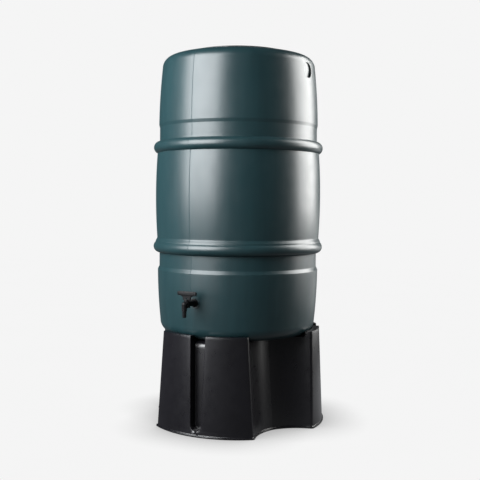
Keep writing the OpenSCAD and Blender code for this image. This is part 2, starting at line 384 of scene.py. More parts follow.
def ring_patch(bm, edge, centre_turn, centre_z, r_ref, rings, outline, face_r, hole):
    """Fills a rectangular gap in the skin with rings about a round pad or hole.
    edge is the gap's loop of vertices.
    Each ring is (radius, share of the way from the skin to the flat face)."""
    def local(v):
        turn = math.degrees(math.atan2(v.co.x, -v.co.y))
        return math.radians(apart(turn, centre_turn)) * r_ref, v.co.z / MM - DECK - centre_z

    angles = [math.atan2(local(v)[1], local(v)[0]) for v in edge]
    facing = math.radians(centre_turn)
    outward = Vector((math.sin(facing), -math.cos(facing), 0))
    side = Vector((math.cos(facing), math.sin(facing), 0))
    last = edge
    for radius, sunk in rings:
        ring = []
        for a in angles:
            u, w = radius * math.cos(a), radius * math.sin(a)
            turn = centre_turn + math.degrees(u / r_ref)
            on_skin = skin_point(radius_at(outline, centre_z + w), turn, centre_z + w)
            flat = (outward * face_r + side * u) * MM + Vector((0, 0, (centre_z + w + DECK) * MM))
            ring.append(bm.verts.new(on_skin.lerp(flat, sunk)))
        for i in range(len(ring)):
            j = (i + 1) % len(ring)
            bm.faces.new((last[i], last[j], ring[j], ring[i]))
        last = ring
    if not hole:
        bm.faces.new(last)


def skin_gap(outline, turns, centre, height, reach, r_ref):
    """The columns and levels of the skin that a round pad or hole takes up."""
    half = math.degrees(reach / r_ref)
    columns = [i for i, t in enumerate(turns) if abs(apart(t, centre)) < half + 0.4]
    columns.sort(key=lambda i: apart(turns[i], 0))
    levels = [j for j, p in enumerate(outline[1:]) if p[0] > TOP_R and abs(p[1] - height) < reach]
    return columns, levels


def gap_edge(rows, columns, levels):
    """The gap's loop of vertices: along its lowest level, up, back along its highest level and down."""
    loop = [rows[levels[0]][i] for i in columns]
    loop += [rows[j][columns[-1]] for j in levels[1:]]
    loop += [rows[levels[-1]][i] for i in reversed(columns[:-1])]
    loop += [rows[j][columns[0]] for j in reversed(levels[1:-1])]
    return loop


def make_barrel():
    """The barrel's skin with its pad and the tap's seat, made solid inwards by the wall's thickness."""
    outline = dense(barrel_outline(), LONGEST)
    turns = barrel_turns()
    bm = bmesh.new()
    middle = bm.verts.new(polar(0, 0, outline[0][1] + DECK))
    rows = [[bm.verts.new(skin_point(r, t, z)) for t in turns] for r, z in outline[1:]]
    boss_z = TAP_Z - DECK
    pad = skin_gap(outline, turns, PAD_TURN, PAD_Z, PAD_REACH, PAD_SKIN_R)
    boss = skin_gap(outline, turns, 0.0, boss_z, BOSS_REACH, BOSS_SKIN_R)
    skip = {(j, i) for columns, levels in (pad, boss) for j in levels[:-1] for i in columns[:-1]}
    count = len(turns)
    for i in range(count):
        bm.faces.new((middle, rows[0][(i + 1) % count], rows[0][i]))
    for j in range(len(rows) - 1):
        for i in range(count):
            if (j, i) in skip:
                continue
            k = (i + 1) % count
            bm.faces.new((rows[j][i], rows[j][k], rows[j + 1][k], rows[j + 1][i]))
    pad_rings = [(PAD_R + away, sunk) for away, sunk in PAD_RAMP]
    boss_rings = [(BOSS_R + 2.3, 0), (BOSS_R + 1.0, 0), (BOSS_R, 1), (BOSS_R - 3.2, 1), (TAP_HOLE_R, 1)]
    ring_patch(bm, gap_edge(rows, *pad), PAD_TURN, PAD_Z, PAD_SKIN_R, pad_rings, outline, PAD_FACE, False)
    ring_patch(bm, gap_edge(rows, *boss), 0.0, boss_z, BOSS_SKIN_R, boss_rings, outline, BOSS_FACE, True)
    bmesh.ops.recalc_face_normals(bm, faces=bm.faces)
    obj = new_object("barrel_shell", bm)
    wall = obj.modifiers.new("wall", "SOLIDIFY")
    wall.thickness = WALL * MM
    wall.offset = -1
    apply_modifiers(obj)
    mark_sharp(obj, 50)
    return obj


# ---------- stand ----------

def line(p, q, n):
    """n points from p towards q, without q."""
    return [p + (q - p) * (i / n) for i in range(n)]


def turn_arc(centre, start, end, n):
    """n points along the shorter arc from start towards end, without end."""
    a = math.atan2(start.y - centre.y, start.x - centre.x)
    b = math.atan2(end.y - centre.y, end.x - centre.x)
    sweep = (b - a + math.pi) % (2 * math.pi) - math.pi
    r = (start - centre).length
    return [centre + Vector((math.cos(a + sweep * i / n), math.sin(a + sweep * i / n))) * r for i in range(n)]


def round_corner(before, corner, after, r, n):
    """Points of a rounding between two straight walls."""
    a = (before - corner).normalized()
    b = (after - corner).normalized()
    reach = r / math.tan(a.angle(b) / 2)
    start = corner + a * reach
    end = corner + b * reach
    out = []
    for k in range(n + 1):
        t = k / n
        out.append(start * (1 - t) ** 2 + corner * (2 * t * (1 - t)) + end * t ** 2)
    return out


def groove_half_width(z, deep):
    """Half the groove's width at height z: it widens upwards from a round lower end."""
    centre = GROOVE_END_Z + GROOVE_END
    end = GROOVE_END + deep
    if z >= centre:
        return end + (GROOVE_TOP - GROOVE_END) * (z - centre) / (RIM_TOP + 5 - centre)
    return math.sqrt(max(end ** 2 - (centre - z) ** 2, 0.0))


def ramp(z):
    """How far a groove's floor falls back as it rounds over onto the deck."""
    rise = min(max(z - (DECK - RAMP_TALL), 0.0), RAMP_TALL) / RAMP_TALL
    return RAMP_DEEP * (1 - math.sqrt(1 - rise ** 2))


def half_lobe(z, inset, grow, groove_z):
    """Right half of one lobe's outline at height z, moved in by inset and out by grow.
    It runs from the middle of the groove to the crease."""
    deep = inset - grow
    wall = FOOT_R - deep - LEAN * z
    width = groove_half_width(max(z, groove_z), inset)
    floor_y = -(RIM_R - GROOVE_DEEP - deep) - (RIM_TOP - z) * LEAN
    floor_y += ramp(z + inset)
    edge = Vector((width, -math.sqrt(wall ** 2 - width ** 2)))
    inner = Vector((width, floor_y))
    soft_in = min(GROOVE_IN_ROUND, width * 0.5)
    soft_out = min(GROOVE_OUT_ROUND, 0.04 + (width - groove_half_width(groove_z, inset)) * 0.5)
    groove = line(Vector((0, floor_y)), Vector((width - soft_in, floor_y)), 4)
    groove += round_corner(Vector((0, floor_y)), inner, edge, soft_in, 4)
    along = Vector((edge.x + 20, -math.sqrt(wall ** 2 - (edge.x + 20) ** 2)))
    mouth = round_corner(inner, edge, along, soft_out, 4)
    groove += line(groove.pop(), mouth[0], 4)
    skin = list(mouth)
    turn = math.radians(60)
    far = RECESS_FAR - z * math.tan(math.radians(RECESS_LEAN))
    hub = turned(Vector((RECESS_SIDE, -far)), turn)
    r = RECESS_R + deep
    corner = max(CORNER_ROUND - max(deep, 0), 3.0)
    reach = wall - corner
    away = hub.length
    near = (away ** 2 + reach ** 2 - (r + corner) ** 2) / (2 * away)
    to_hub = hub.normalized()
    centre = to_hub * near + Vector((to_hub.y, -to_hub.x)) * math.sqrt(reach ** 2 - near ** 2)
    on_wall = centre.normalized() * wall
    on_recess = hub + (centre - hub).normalized() * r
    skin += turn_arc(Vector((0, 0)), skin.pop(), on_wall, 14)
    skin += turn_arc(centre, on_wall, on_recess, 8)
    fillet_far = far - math.sqrt((r - CREASE_ROUND) ** 2 - RECESS_SIDE ** 2)
    fillet = Vector((math.sin(turn), -math.cos(turn))) * fillet_far
    crease_start = hub + (fillet - hub).normalized() * r
    middle = Vector((math.sin(turn), -math.cos(turn))) * (fillet_far - CREASE_ROUND)
    skin += turn_arc(hub, on_recess, crease_start, 16)
    skin += turn_arc(fillet, crease_start, middle, 2)
    skin.append(middle)
    return groove, skin


def mirrored(points):
    """The same points on the other side of the lobe's middle, in the opposite order."""
    return [Vector((-v.x, v.y)) for v in reversed(points)]


def full_outline(z, inset, grow, groove_z):
    """All three lobes: the groove's points and the skin's points, from the left to the right of each lobe."""
    groove, skin = half_lobe(z, inset, grow, groove_z)
    left_skin = mirrored(skin)[1:]
    across = mirrored(groove[1:]) + groove
    lobes = []
    for lobe in range(3):
        t = math.radians(120 * lobe + STAND_TURN)
        parts = (left_skin, across, skin)
        lobes.append([[Vector((*turned(v, t), z)) * MM for v in part] for part in parts])
    return lobes


def joined(ring, with_groove):
    """One loop from a level's left skins, grooves and right skins."""
    out = []
    for left, across, right in ring:
        out += left + (across if with_groove and across else []) + right
    return out


def stand_loft(deep, levels, groove_z):
    """A closed solid from (height, extra move outwards) levels; the grooves start at groove_z."""
    bm = bmesh.new()
    rings = []
    for z, grow in levels:
        ring = []
        for left, across, right in full_outline(z, deep, grow, groove_z):
            middle = [bm.verts.new(v) for v in across] if z >= groove_z else None
            ring.append([[bm.verts.new(v) for v in left], middle, [bm.verts.new(v) for v in right]])
        rings.append(ring)
    for low, high in zip(rings, rings[1:]):
        with_groove = low[0][1] is not None
        a, b = joined(low, with_groove), joined(high, with_groove)
        for i in range(len(a)):
            j = (i + 1) % len(a)
            bm.faces.new((a[i], a[j], b[j], b[i]))
        if not with_groove and high[0][1] is not None:
            for left, across, right in high:
                bm.faces.new([left[-1]] + across + [right[0]])
    bm.faces.new(list(reversed(joined(rings[0], False))))
    bm.faces.new(joined(rings[-1], True))
    bmesh.ops.recalc_face_normals(bm, faces=bm.faces)
    return new_object("form", bm)


def disc(radius, low, high, count):
    """A plain upright cutter about the stand's axis."""
    bm = bmesh.new()
    bmesh.ops.create_cone(bm, cap_ends=True, segments=count, radius1=radius * MM, radius2=radius * MM,
                          depth=(high - low) * MM, matrix=Matrix.Translation((0, 0, (high + low) / 2 * MM)))
    return new_object("disc", bm)


def cut(obj, tool, operation="DIFFERENCE"):
    """Cuts the tool out of the object, or joins or crosses them, and removes the tool."""
    m = obj.modifiers.new("cut", "BOOLEAN")
    m.operation = operation
    m.solver = "EXACT"
    m.object = tool
    apply_modifiers(obj)
    bpy.data.objects.remove(tool)


def merged(obj, reach):
    """The object's mesh for editing, with the points that a cut left closer than reach merged."""
    bm = bmesh.new()
    bm.from_mesh(obj.data)
    bmesh.ops.remove_doubles(bm, verts=bm.verts, dist=reach * MM)
    bmesh.ops.dissolve_degenerate(bm, edges=bm.edges, dist=reach * MM)
    return bm


def store(bm, obj):
    bm.to_mesh(obj.data)
    bm.free()


def soften_stand_edges(obj):
    """Rounds the rim and the deck's open edges."""
    bm = merged(obj, STAND_MERGE)
    deck, rim = [], []
    for e in bm.edges:
        if len(e.link_faces) != 2 or e.calc_face_angle() < math.radians(40):
            continue
        z = [v.co.z / MM for v in e.verts]
        r = [math.hypot(v.co.x, v.co.y) / MM for v in e.verts]
        if max(abs(k - DECK) for k in z) < 0.2 and max(r) < RIM_IN_R - 0.3:
            deck.append(e)
        elif min(z) > DECK - 0.2:
            rim.append(e)
    bmesh.ops.bevel(bm, geom=rim + deck, offset=EDGE_ROUND * MM, offset_type="OFFSET", segments=3,
                    profile=0.5, affect="EDGES", clamp_overlap=True)
    store(bm, obj)


def make_stand():
    """The three-lobed stand: a solid form, the deck sunk into its top, and the hollow inside."""
    groove_low = GROOVE_END_Z + GROOVE_START
    heights = [groove_low, *OUTER_LEVELS]
    heights += [DECK - RAMP_TALL * (1 - k) for k in RAMP_STEPS] + [ABOVE_DECK, RIM_TOP]
    levels = list(LIP) + [(z, 0) for z in heights]
    outer = stand_loft(0, levels, groove_low)
    cut(outer, disc(RIM_IN_R, DECK, RIM_TOP + 20, 240))
    soften_stand_edges(outer)
    inner_low = GROOVE_END_Z - STAND_T + 0.3
    heights = [-2, 6, inner_low, *INNER_LEVELS]
    heights += [DECK - STAND_T - RAMP_TALL * (1 - k) for k in RAMP_STEPS]
    cut(outer, stand_loft(STAND_T, [(z, 0) for z in heights], inner_low))
    mark_sharp(outer, 42)
    outer.name = "stand_shell"
    return outer


def make_web(turn):
    """A stiffening web under the deck, from the middle to the wall."""
    bm = bmesh.new()
    bmesh.ops.create_cube(bm, size=1)
    reach = WEB_REACH if turn % 120 == 60 else WEB_REACH_LOBE
    low = DECK - STAND_T - WEB_DEEP
    scale = Matrix.Diagonal((STAND_T * MM, reach * MM, (WEB_DEEP + 1) * MM, 1))
    move = Matrix.Translation((0, -reach / 2 * MM, (low + (WEB_DEEP + 1) / 2) * MM))
    spin = Matrix.Rotation(math.radians(turn + STAND_TURN), 4, "Z")
    bmesh.ops.transform(bm, matrix=spin @ move @ scale, verts=bm.verts)
    bmesh.ops.bevel(bm, geom=bm.edges[:], offset=0.8 * MM, segments=2, profile=0.5, affect="EDGES")
    obj = new_object("stand_web", bm)
    mark_sharp(obj, 50)
    return obj


# ---------- turned pieces ----------

def lathe(name, outline, count, place, closed=False, power=1.0):
    """Turns an outline of (radius, height) in millimetres about Z, then puts it in place.
    A power under 1 makes the section squarer than a circle."""
    bm = bmesh.new()
    rings = []
    for r, z in outline:
        if r == 0:
            rings.append([bm.verts.new((0, 0, z * MM))])
            continue
        ring = []
        for i in range(count):
            a = 2 * math.pi * (i + 0.5) / count
            x = math.copysign(abs(math.cos(a)) ** power, math.cos(a))
            y = math.copysign(abs(math.sin(a)) ** power, math.sin(a))
            ring.append(bm.verts.new((r * x * MM, r * y * MM, z * MM)))
        rings.append(ring)
    pairs = list(zip(rings, rings[1:]))
    if closed:
        pairs.append((rings[-1], rings[0]))
    for low, high in pairs:
        for i in range(count):
            j = (i + 1) % count
            if len(low) == 1:
                bm.faces.new((low[0], high[j], high[i]))
            elif len(high) == 1:
                bm.faces.new((low[i], low[j], high[0]))
            else:
                bm.faces.new((low[i], low[j], high[j], high[i]))
    bmesh.ops.recalc_face_normals(bm, faces=bm.faces)
    bmesh.ops.transform(bm, matrix=place, verts=bm.verts)
    return new_object(name, bm)


def rod(low, high, radius, count, place):
    """A plain round cutter."""
    return lathe("cutter", [(0, low), (radius, low), (radius, high), (0, high)], count, place)


def block(low, high, place):
    """A plain square cutter between two corners."""
    bm = bmesh.new()
    size = [(b - a) * MM for a, b in zip(low, high)]
    middle = [(a + b) / 2 * MM for a, b in zip(low, high)]
    bmesh.ops.create_cube(bm, size=1)
    scale = Matrix.Diagonal((size[0], size[1], size[2], 1))
    bmesh.ops.transform(bm, matrix=place @ Matrix.Translation(middle) @ scale, verts=bm.verts)
    return new_object("block", bm)


def raised(z):
    """A move upwards by z millimetres."""
    return Matrix.Translation((0, 0, z * MM))


# ---------- lid ----------

def make_lid():
    """The lid's shell: a rounded skirt, a flat edge and a sunk middle with a stiffening step."""
    seat = NECK_H
    top = seat + LID_T
    step_r = DISH_R - DISH_STEP_IN
    dish = top - DISH_D
    points = [(0, dish), (step_r - 1, dish), (step_r + 1, dish + DISH_STEP),
              (DISH_R - 6, dish + DISH_STEP), (DISH_R, top), (LID_R, top), (LID_R, 1), (LID_R - LID_T, 1),
              (LID_R - LID_T, seat), (DISH_R - 1, seat), (DISH_R - 6, seat - DISH_D), (0, seat - DISH_D)]
    corners = {1: 1.0, 2: 1.0, 3: 3.0, 4: 1.8, 5: 3.0, 6: 0.9, 7: 0.9, 8: 0.8, 9: 1.5, 10: 3.0}
    lid = lathe("lid_shell", soften(points, corners, 6), 288, raised(LID_TOP - top))
    mark_sharp(lid, 40)
    return lid


def make_grip():
    """The bar across the lid's sunk middle: waisted for the fingers, with rounded edges."""
    low = LID_TOP - DISH_D - 1
    high = LID_TOP - 0.5
    levels = [(low, -1.5), (low + 1.6, -1.2), (low + 2.6, 0), (high - 4.5, 0.3), (high - 2.4, 0.9),
              (high - 1.0, 2.1), (high - 0.3, 3.6), (high, 5.2)]
    count = 112
    bm = bmesh.new()
    rings = []
    for z, inset in levels:
        ring = []
        for i in range(count):
            t = 2 * math.pi * (i + 0.5) / count
            c, s = math.cos(t), math.sin(t)
            x = math.copysign(abs(c) ** GRIP_POWER, c) * (GRIP_L / 2 - inset)
            waist = 1 - GRIP_WAIST * math.cos(math.pi * x / GRIP_L) ** 2
            y = math.copysign(abs(s) ** GRIP_POWER, s) * (GRIP_W / 2 - inset) * waist
            ring.append(bm.verts.new((x * MM, y * MM, z * MM)))
        rings.append(ring)
    for a, b in zip(rings, rings[1:]):
        for i in range(count):
            j = (i + 1) % count
            bm.faces.new((a[i], a[j], b[j], b[i]))
    bm.faces.new(list(reversed(rings[0])))
    bm.faces.new(rings[-1])
    grip = new_object("lid_grip", bm)
    mark_sharp(grip, 50)
    return grip


# ---------- tap ----------

AT_PLUG = Matrix.Translation((0, -PLUG_Y * MM, TAP_Z * MM))
ALONG = AT_PLUG @ Matrix.Rotation(math.radians(-90), 4, "X")        # heights run towards the barrel
OUTLET = AT_PLUG @ Matrix.Translation((0, -OUTLET_Y * MM, 0))


def pipe_outline():
    """The horizontal body: a round nose, a cone to the flange, and the threaded tail."""
    flange = SEAT - WASHER_T
    out = arc(0, -OUTLET_Y, PIPE_R, -90, 0, 12)
    out[0] = (0, 0.02 - OUTLET_Y - PIPE_R)
    points = [out[-1], (PIPE_R, flange - 12), (PIPE_R + 1.6, flange - FLANGE_T),
              (FLANGE_R, flange - FLANGE_T), (FLANGE_R, flange), (TAIL_R, flange)]
    out += soften(points, {1: 4.0, 2: 1.0, 3: 0.8, 4: 0.5}, 4)[1:]
    root = TAIL_R - THREAD_DEEP
    y = SEAT + 1.0
    while y + THREAD_PITCH < TAIL_END:
        out += [(TAIL_R, y), (TAIL_R, y + 0.4), (root, y + 1.0), (root, y + 1.4)]
        y += THREAD_PITCH
    return out + [(root, TAIL_END), (0, TAIL_END)]


def spout_outline():
    """The outlet, from its barbed end up to the middle of the bend."""
    root = NOZZLE_R - BARB_DEEP
    out = [(0, NOZZLE_END), (NOZZLE_R - 1.2, NOZZLE_END), (root, NOZZLE_END + 0.6)]
    for k in range(BARBS):
        z = NOZZLE_END + 1.0 + BARB_PITCH * k
        out += [(root, z), (NOZZLE_R, z + 3.2), (NOZZLE_R, z + 3.8), (root, z + 4.1)]
    out += [(SPOUT_R - 0.6, SPOUT_END), (SPOUT_R, SPOUT_END + 0.6), (SPOUT_R, SPOUT_END + 3.0)]
    out += [(SPOUT_R - 0.5, SPOUT_END + 3.4), (SPOUT_R - 0.5, SPOUT_END + 4.2), (SPOUT_R, SPOUT_END + 4.6)]
    return out + [(SPOUT_R, 0), (0, 0)]


def make_tap_body():
    """The bent body: pipe, round house for the plug and spout, with the plug's bore and the way through."""
    body = lathe("tap_body_shell", pipe_outline(), 64, ALONG)
    house = [(0, HOUSE_END), (HOUSE_R, HOUSE_END), (HOUSE_R, HOUSE_TOP), (0, HOUSE_TOP)]
    cut(body, lathe("house", soften(house, {1: 1.2, 2: 1.2}, 4), 64, AT_PLUG), "UNION")
    cut(body, lathe("spout", spout_outline(), 64, OUTLET), "UNION")
    for tool in (rod(HOUSE_END - 1, HOUSE_TOP + 1, BORE_R, 48, AT_PLUG),
                 rod(HOUSE_END - 1, BORE_STEP_Z, BORE_STEP_R, 48, AT_PLUG),
                 rod(-OUTLET_Y, TAIL_END + 1, WAY_R, 40, ALONG),
                 rod(NOZZLE_END - 1, 0, WAY_R, 40, OUTLET)):
        cut(body, tool)
    store(merged(body, MERGE), body)
    mark_sharp(body, 38)
    return body


def handle_web():
    """The tapered plate between the handle's bar and hub, with eased edges."""
    half = HANDLE_WEB_HALF
    reach = BAR_HALF - BAR_ROUND - 4
    points = [(half - 4, HUB_Z + 1), (half, HUB_Z + 4), (half, BAR_Z - 12)]
    points += [(reach, BAR_Z - 3), (reach, BAR_Z)]
    right = soften(points, {1: 3.0, 2: 13.0, 3: 4.0}, 8)
    outline = right + [(-x, z) for x, z in reversed(right)]
    bm = bmesh.new()
    y = HANDLE_WEB_T / 2
    front = [bm.verts.new((x * MM, -y * MM, z * MM)) for x, z in outline]
    back = [bm.verts.new((x * MM, y * MM, z * MM)) for x, z in outline]
    faces = [bm.faces.new(front), bm.faces.new(list(reversed(back)))]
    for i in range(len(front)):
        j = (i + 1) % len(front)
        bm.faces.new((front[j], front[i], back[i], back[j]))
    bmesh.ops.recalc_face_normals(bm, faces=bm.faces)
    edges = [e for f in faces for e in f.edges]
    bmesh.ops.bevel(bm, geom=edges, offset=1.1 * MM, segments=3, profile=0.5, affect="EDGES")
    bmesh.ops.transform(bm, matrix=AT_PLUG, verts=bm.verts)
    return new_object("web", bm)


def make_handle():
    """The T handle: an oval bar with a grooved collar near each end, a plate and a round hub."""
    groove = BAR_HALF - COLLAR_IN
    waist = BAR_ROUND - COLLAR_DEEP
    half = [(BAR_ROUND, 0), (BAR_ROUND, groove - 0.9), (waist, groove - 0.4), (waist, groove + 0.4),
            (BAR_ROUND, groove + 0.9)]
    half += arc(0, BAR_HALF - BAR_ROUND, BAR_ROUND, 0, 90, 10)
    half[-1] = (0, BAR_HALF)
    outline = [(r, -z) for r, z in reversed(half)] + half[1:]
    flat = Matrix.Diagonal((1, HANDLE_T / (2 * BAR_ROUND), 1, 1))
    bar = AT_PLUG @ raised(BAR_Z) @ flat @ Matrix.Rotation(math.radians(90), 4, "Y")
    handle = lathe("tap_t_handle", outline, 64, bar, power=BAR_POWER)
    cut(handle, handle_web(), "UNION")
    hub = [(0, HUB_Z), (HUB_R, HUB_Z), (HUB_R, HUB_Z + HUB_H), (0, HUB_Z + HUB_H)]
    cut(handle, lathe("hub", soften(hub, {1: 0.6, 2: 1.4}, 4), 48, AT_PLUG), "UNION")
    lock = AT_PLUG @ raised(LOCK_Z) @ Matrix.Rotation(math.radians(90), 4, "X")
    cut(handle, rod(-20, 20, LOCK_R, 32, lock))
    w = SOCKET_W / 2
    cut(handle, block((-w, -w, HUB_Z - 1), (w, w, SOCKET_TOP), AT_PLUG))
    mark_sharp(handle, 38)
    return handle


def ring_outline(inner, outer, low, high, ease):
    """A closed section with eased corners, starting in the middle of its inner side."""
    mid = (low + high) / 2
    points = [(inner, mid), (inner, low), (outer, low), (outer, high), (inner, high), (inner, mid)]
    return soften(points, {1: ease, 2: ease, 3: ease, 4: ease}, 4)[:-1]


def make_washer():
    """The seal between the tap's flange and the barrel."""
    outline = ring_outline(TAIL_R + 0.05, FLANGE_R + 0.8, SEAT - WASHER_T, SEAT, 0.6)
    washer = lathe("tap_washer_ring", outline, 72, ALONG, closed=True)
    mark_sharp(washer, 50)
    return washer


def make_back_nut():
    """A six-sided nut with chamfered corners, inside the barrel."""
    low = PLUG_Y + nut_low[1]
    high = PLUG_Y + nut_high[1]
    hex_r = (nut_high[0] - nut_low[0]) / 2
    spin = ALONG @ Matrix.Rotation(math.radians(30), 4, "Z")
    nut = lathe("tap_nut", [(0, low), (hex_r, low), (hex_r, high), (0, high)], 6, spin)
    cone = [(0, low), (hex_r - 2.4, low), (hex_r, low + 1.3)]
    cone += [(hex_r, high - 1.3), (hex_r - 2.4, high), (0, high)]
    cut(nut, lathe("cone", cone, 72, ALONG), "INTERSECT")
    cut(nut, rod(low - 1, high + 1, TAIL_R + 0.05, 48, ALONG))
    mark_sharp(nut, 25)
    return nut


def make_screw():
    """A small domed screw head with a cross recess, and its shank up in the plug."""
    screw_low, screw_high = box_mm("plug_screw")
    low = screw_low[2] - TAP_Z
    high = screw_high[2] - TAP_Z
    outline = [(0, low), (1.6, low + 0.1), (2.7, low + 0.45), (3.5, low + 1.1), (3.8, low + 1.7),
               (3.7, low + 2.0), (1.6, low + 2.0), (1.6, high), (0, high)]
    screw = lathe("plug_screw_head", outline, 40, AT_PLUG)
    for w, d in ((1.9, 0.45), (0.45, 1.9)):
        cut(screw, block((-w, -d, low - 1), (w, d, low + 1.1), AT_PLUG))
    mark_sharp(screw, 35)
    return screw


# ---------- materials ----------

PLASTIC_IOR = 1.5
GRAIN_DEEP = 0.00012                     # metres
GREEN_DARK = (0.0052, 0.0178, 0.0208, 1)
GREEN_LIGHT = (0.0070, 0.0218, 0.0252, 1)
GREEN_STREAK = (0.0095, 0.0300, 0.0340, 1)
STEEL_DARK = (0.42, 0.42, 0.43, 1)
STEEL_LIGHT = (0.56, 0.56, 0.57, 1)
WHITE = (0.913, 0.913, 0.913, 1)         # the ground and the surround, as the camera sees them


class Nodes:
    """Short way to write a node material."""

    def __init__(self, name):
        self.mat = bpy.data.materials.new(name)
        self.mat.use_nodes = True
        self.tree = self.mat.node_tree
        self.tree.nodes.clear()
        self.out = self.add("ShaderNodeOutputMaterial")
        self.shader = self.add("ShaderNodeBsdfPrincipled")
        self.link(self.shader.outputs[0], self.out.inputs[0])
        self.place = self.add("ShaderNodeTexCoord").outputs["Object"]

    def add(self, kind, **values):
        """A new node with these settings."""
        node = self.tree.nodes.new(kind)
        for key, value in values.items():
            setattr(node, key, value)
        return node

    def link(self, a, b):
        self.tree.links.new(a, b)

    def noise(self, scale, detail=3.0, rough=0.5, stretch=None):
        """Cloudy noise from 0 to 1 over the object."""
        node = self.add("ShaderNodeTexNoise")
        node.inputs["Scale"].default_value = scale
        node.inputs["Detail"].default_value = detail
        node.inputs["Roughness"].default_value = rough
        if stretch:
            mapping = self.add("ShaderNodeMapping")
            mapping.inputs["Scale"].default_value = stretch
            self.link(self.place, mapping.inputs["Vector"])
            self.link(mapping.outputs[0], node.inputs["Vector"])
        else:
            self.link(self.place, node.inputs["Vector"])
        return node.outputs["Fac"]

    def spread(self, value, low, high, start=0.0, end=1.0):
        """Maps start..end to low..high."""
        node = self.add("ShaderNodeMapRange")
        node.inputs["From Min"].default_value = start
        node.inputs["From Max"].default_value = end
        node.inputs["To Min"].default_value = low
        node.inputs["To Max"].default_value = high
        self.link(value, node.inputs["Value"])
        return node.outputs[0]

    def mix(self, factor, a, b):
        """Blends two colours, each a tuple or a socket."""
        node = self.add("ShaderNodeMix", data_type="RGBA")
        self.link(factor, node.inputs[0])
        for socket, value in ((node.inputs[6], a), (node.inputs[7], b)):
            if isinstance(value, tuple):
                socket.default_value = value
            else:
                self.link(value, socket)
        return node.outputs[2]

    def bump(self, height, strength, distance, below=None):
        """A bumped normal, over another one if below is given; distance is in metres."""
        node = self.add("ShaderNodeBump")
        node.inputs["Strength"].default_value = strength
        node.inputs["Distance"].default_value = distance
        self.link(height, node.inputs["Height"])
        if below:
            self.link(below, node.inputs["Normal"])
        return node.outputs[0]


def green_plastic():
    """Dark green blow-moulded polyethylene: satin, with a fine grain and faint long streaks."""
    m = Nodes("green_plastic")
    cloud = m.noise(3.5, 4.0, 0.55)
    streak = m.noise(7.0, 3.0, 0.6, (6.0, 6.0, 0.35))
    base = m.mix(m.spread(cloud, 0, 1, 0.3, 0.7), GREEN_DARK, GREEN_LIGHT)
    color = m.mix(m.spread(streak, 0, 0.35, 0.35, 0.7), base, GREEN_STREAK)
    m.link(color, m.shader.inputs["Base Color"])
    rough = m.spread(m.noise(26.0, 5.0, 0.6), 0.31, 0.39, 0.25, 0.75)
    m.link(rough, m.shader.inputs["Roughness"])
    m.shader.inputs["IOR"].default_value = PLASTIC_IOR
    grain = m.bump(m.noise(1500.0, 2.0, 0.5), 0.10, GRAIN_DEEP)
    wave = m.bump(streak, 0.10, 0.0012, grain)
    m.link(wave, m.shader.inputs["Normal"])
    return m.mat


def black_plastic(name, dark, light, rough, grain_size, grain, specular):
    """Black moulded plastic with a fine satin grain and small variations in gloss."""
    m = Nodes(name)
    cloud = m.noise(6.0, 4.0, 0.6)
    color = m.mix(m.spread(cloud, 0, 1, 0.3, 0.7), dark, light)
    m.link(color, m.shader.inputs["Base Color"])
    gloss = m.spread(m.noise(38.0, 5.0, 0.6), rough[0], rough[1], 0.25, 0.75)
    m.link(gloss, m.shader.inputs["Roughness"])
    m.shader.inputs["IOR"].default_value = PLASTIC_IOR
    m.shader.inputs["Specular IOR Level"].default_value = specular
    m.link(m.bump(m.noise(grain_size, 2.0, 0.5), grain, GRAIN_DEEP), m.shader.inputs["Normal"])
    return m.mat


def steel():
    """Plain stainless steel, slightly cloudy and finely brushed."""
    m = Nodes("steel")
    cloud = m.noise(140.0, 4.0, 0.6)
    m.link(m.mix(cloud, STEEL_DARK, STEEL_LIGHT), m.shader.inputs["Base Color"])
    m.shader.inputs["Metallic"].default_value = 1.0
    m.link(m.spread(m.noise(420.0, 4.0, 0.6), 0.22, 0.38, 0.3, 0.7), m.shader.inputs["Roughness"])
    m.link(m.bump(m.noise(2400.0, 2.0, 0.5), 0.12, 0.00008), m.shader.inputs["Normal"])
    return m.mat


def give(obj, mat):
    """Leaves the object with this one material."""
    obj.data.materials.clear()
    obj.data.materials.append(mat)


# ---------- stage ----------

CAMERA_TURN = 30.0                       # degrees from the tap's side towards the filling pad
CAMERA_AWAY = 2.5726                     # metres, like the stage's other distances
CAMERA_UP = 0.682
CAMERA_DOWN = 1.5                        # degrees
CAMERA_ROLL = -0.40                      # degrees
CAMERA_SIDE = 0.0069
CAMERA_LENS = 60.0                       # millimetres
CAMERA_SHIFT = -0.0305
COOL = (0.96, 0.98, 1.0)
WARM = (1.0, 0.995, 0.98)
WORLD_DIM = 0.055

POOL_TURN = 128.0                        # where the ground is brightest, from the camera's direction
POOL_AWAY = 0.6
POOL_BRIGHT = 0.40
POOL_DIM = 0.12


def make_camera():
    """The camera, a little above the middle of the object and looking slightly down."""
    a = math.radians(CAMERA_TURN)
    toward = Vector((math.sin(a), -math.cos(a), 0))
    right = Vector((math.cos(a), math.sin(a), 0))
    data = bpy.data.cameras.new("camera")
    data.lens = CAMERA_LENS
    data.sensor_width = 36
    data.shift_y = CAMERA_SHIFT
    cam = bpy.data.objects.new("camera", data)
    bpy.context.scene.collection.objects.link(cam)
    cam.location = toward * CAMERA_AWAY + right * CAMERA_SIDE + Vector((0, 0, CAMERA_UP))
    down = math.radians(CAMERA_DOWN)
    look = -toward * math.cos(down) + Vector((0, 0, -math.sin(down)))
    turn = look.to_track_quat("-Z", "Y")
    roll = Matrix.Rotation(math.radians(CAMERA_ROLL), 4, look)
    cam.matrix_world = Matrix.Translation(cam.location) @ roll.to_3x3().to_4x4() @ turn.to_matrix().to_4x4()
    bpy.context.scene.camera = cam


